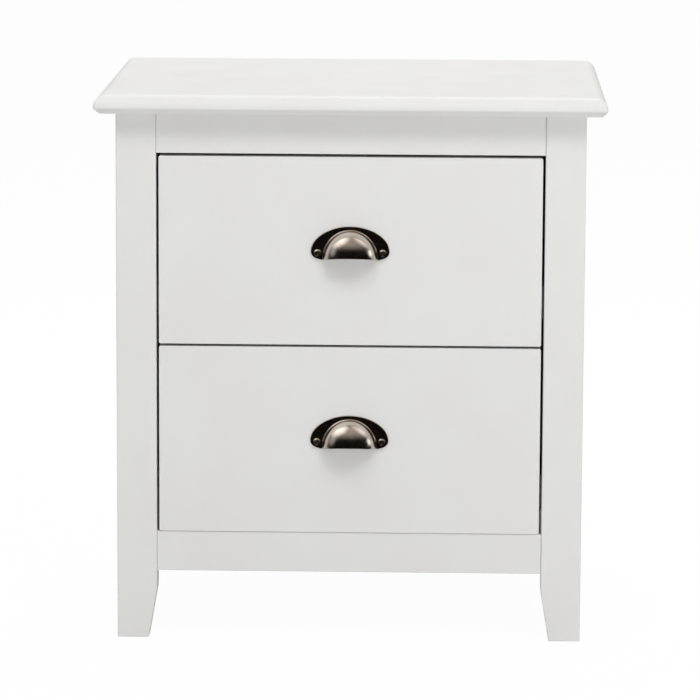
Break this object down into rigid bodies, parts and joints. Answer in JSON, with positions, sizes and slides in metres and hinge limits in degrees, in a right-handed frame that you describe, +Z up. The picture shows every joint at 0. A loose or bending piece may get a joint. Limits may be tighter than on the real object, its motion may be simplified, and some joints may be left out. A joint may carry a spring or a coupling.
{
  "type": "nightstand with drawers",
  "caption": "White lacquered bedside cabinet with inset drawers on roller runners, nickel cup pulls, a moulded top and tapered legs.",
  "frame": {"origin": "on the floor, under the middle of the top panel's outline", "axes": "+Z up, -Y is the front that the drawers open towards, +X to the right of someone who faces the drawers"},
  "size_m": [0.5, 0.392, 0.544],
  "materials": {
    "white_lacquer": "white satin lacquer sprayed on smooth fibreboard and wood",
    "drawer_board": "white foil-wrapped board, slightly textured",
    "drawer_bottom_board": "white-faced fibreboard",
    "back_hardboard": "thin hardboard, painted white",
    "pine": "planed, unfinished pine",
    "runner_enamel": "white epoxy enamel on pressed steel",
    "roller_nylon": "natural moulded nylon",
    "satin_nickel": "bright satin nickel plate",
    "zinc_screw": "bright zinc plate"
  },
  "bodies": {
    "cabinet": {"top_panel": "white_lacquer", "leg_front_left": "white_lacquer", "leg_front_right": "white_lacquer", "leg_back_left": "white_lacquer", "leg_back_right": "white_lacquer", "top_rail_front": "white_lacquer", "bottom_rail_front": "white_lacquer", "top_rail_back": "white_lacquer", "bottom_rail_back": "white_lacquer", "drawer_stop_board": "white_lacquer", "side_panel_left": "white_lacquer", "side_panel_right": "white_lacquer", "back_panel": "back_hardboard", "corner_block_front_left": "pine", "corner_block_front_right": "pine", "corner_block_back_left": "pine", "corner_block_back_right": "pine", "runner_batten_lower_left": "pine", "runner_batten_lower_right": "pine", "runner_batten_upper_left": "pine", "runner_batten_upper_right": "pine", "top_screw_front_left": "zinc_screw", "top_screw_front_right": "zinc_screw", "top_screw_back_left": "zinc_screw", "top_screw_back_right": "zinc_screw", "cabinet_runner_lower_left": "runner_enamel", "cabinet_runner_lower_right": "runner_enamel", "cabinet_runner_upper_left": "runner_enamel", "cabinet_runner_upper_right": "runner_enamel"},
    "lower_drawer": {"drawer_front_lower": "white_lacquer", "drawer_runner_lower_left": "runner_enamel", "drawer_runner_lower_right": "runner_enamel", "drawer_side_lower_left": "drawer_board", "drawer_side_lower_right": "drawer_board", "drawer_back_lower": "drawer_board", "drawer_bottom_lower": "drawer_bottom_board", "cup_pull_lower": "satin_nickel", "pull_screw_lower_left": "satin_nickel", "pull_screw_lower_right": "satin_nickel"},
    "upper_drawer": {"drawer_front_upper": "white_lacquer", "drawer_runner_upper_left": "runner_enamel", "drawer_runner_upper_right": "runner_enamel", "drawer_side_upper_left": "drawer_board", "drawer_side_upper_right": "drawer_board", "drawer_back_upper": "drawer_board", "drawer_bottom_upper": "drawer_bottom_board", "cup_pull_upper": "satin_nickel", "pull_screw_upper_left": "satin_nickel", "pull_screw_upper_right": "satin_nickel"},
    "cabinet_roller_lower_left": {"cabinet_roller_lower_left": "roller_nylon"},
    "drawer_roller_lower_left": {"drawer_roller_lower_left": "roller_nylon"},
    "cabinet_roller_lower_right": {"cabinet_roller_lower_right": "roller_nylon"},
    "drawer_roller_lower_right": {"drawer_roller_lower_right": "roller_nylon"},
    "cabinet_roller_upper_left": {"cabinet_roller_upper_left": "roller_nylon"},
    "drawer_roller_upper_left": {"drawer_roller_upper_left": "roller_nylon"},
    "cabinet_roller_upper_right": {"cabinet_roller_upper_right": "roller_nylon"},
    "drawer_roller_upper_right": {"drawer_roller_upper_right": "roller_nylon"}
  },
  "joints": [
    {"name": "lower_drawer_slide", "type": "slide", "parent": "cabinet", "child": "lower_drawer", "axis": [0, -1, 0], "range_m": [0, 0.225]},
    {"name": "upper_drawer_slide", "type": "slide", "parent": "cabinet", "child": "upper_drawer", "axis": [0, -1, 0], "range_m": [0, 0.225]},
    {"name": "cabinet_roller_lower_left_spin", "type": "hinge", "parent": "cabinet", "child": "cabinet_roller_lower_left", "pos_m": [-0.184, -0.139, 0.1463], "axis": [1, 0, 0], "continuous": true},
    {"name": "drawer_roller_lower_left_spin", "type": "hinge", "parent": "lower_drawer", "child": "drawer_roller_lower_left", "pos_m": [-0.1835, 0.133, 0.1451], "axis": [1, 0, 0], "continuous": true},
    {"name": "cabinet_roller_lower_right_spin", "type": "hinge", "parent": "cabinet", "child": "cabinet_roller_lower_right", "pos_m": [0.184, -0.139, 0.1463], "axis": [1, 0, 0], "continuous": true},
    {"name": "drawer_roller_lower_right_spin", "type": "hinge", "parent": "lower_drawer", "child": "drawer_roller_lower_right", "pos_m": [0.1835, 0.133, 0.1451], "axis": [1, 0, 0], "continuous": true},
    {"name": "cabinet_roller_upper_left_spin", "type": "hinge", "parent": "cabinet", "child": "cabinet_roller_upper_left", "pos_m": [-0.184, -0.139, 0.3346], "axis": [1, 0, 0], "continuous": true},
    {"name": "drawer_roller_upper_left_spin", "type": "hinge", "parent": "upper_drawer", "child": "drawer_roller_upper_left", "pos_m": [-0.1835, 0.133, 0.3334], "axis": [1, 0, 0], "continuous": true},
    {"name": "cabinet_roller_upper_right_spin", "type": "hinge", "parent": "cabinet", "child": "cabinet_roller_upper_right", "pos_m": [0.184, -0.139, 0.3346], "axis": [1, 0, 0], "continuous": true},
    {"name": "drawer_roller_upper_right_spin", "type": "hinge", "parent": "upper_drawer", "child": "drawer_roller_upper_right", "pos_m": [0.1835, 0.133, 0.3334], "axis": [1, 0, 0], "continuous": true}
  ],
  "couplings": [
    {"joint": "cabinet_roller_lower_left_spin", "follows": "lower_drawer_slide", "rad_per_m": 90.909},
    {"joint": "drawer_roller_lower_left_spin", "follows": "lower_drawer_slide", "rad_per_m": 90.909},
    {"joint": "cabinet_roller_lower_right_spin", "follows": "lower_drawer_slide", "rad_per_m": 90.909},
    {"joint": "drawer_roller_lower_right_spin", "follows": "lower_drawer_slide", "rad_per_m": 90.909},
    {"joint": "cabinet_roller_upper_left_spin", "follows": "upper_drawer_slide", "rad_per_m": 90.909},
    {"joint": "drawer_roller_upper_left_spin", "follows": "upper_drawer_slide", "rad_per_m": 90.909},
    {"joint": "cabinet_roller_upper_right_spin", "follows": "upper_drawer_slide", "rad_per_m": 90.909},
    {"joint": "drawer_roller_upper_right_spin", "follows": "upper_drawer_slide", "rad_per_m": 90.909}
  ]
}
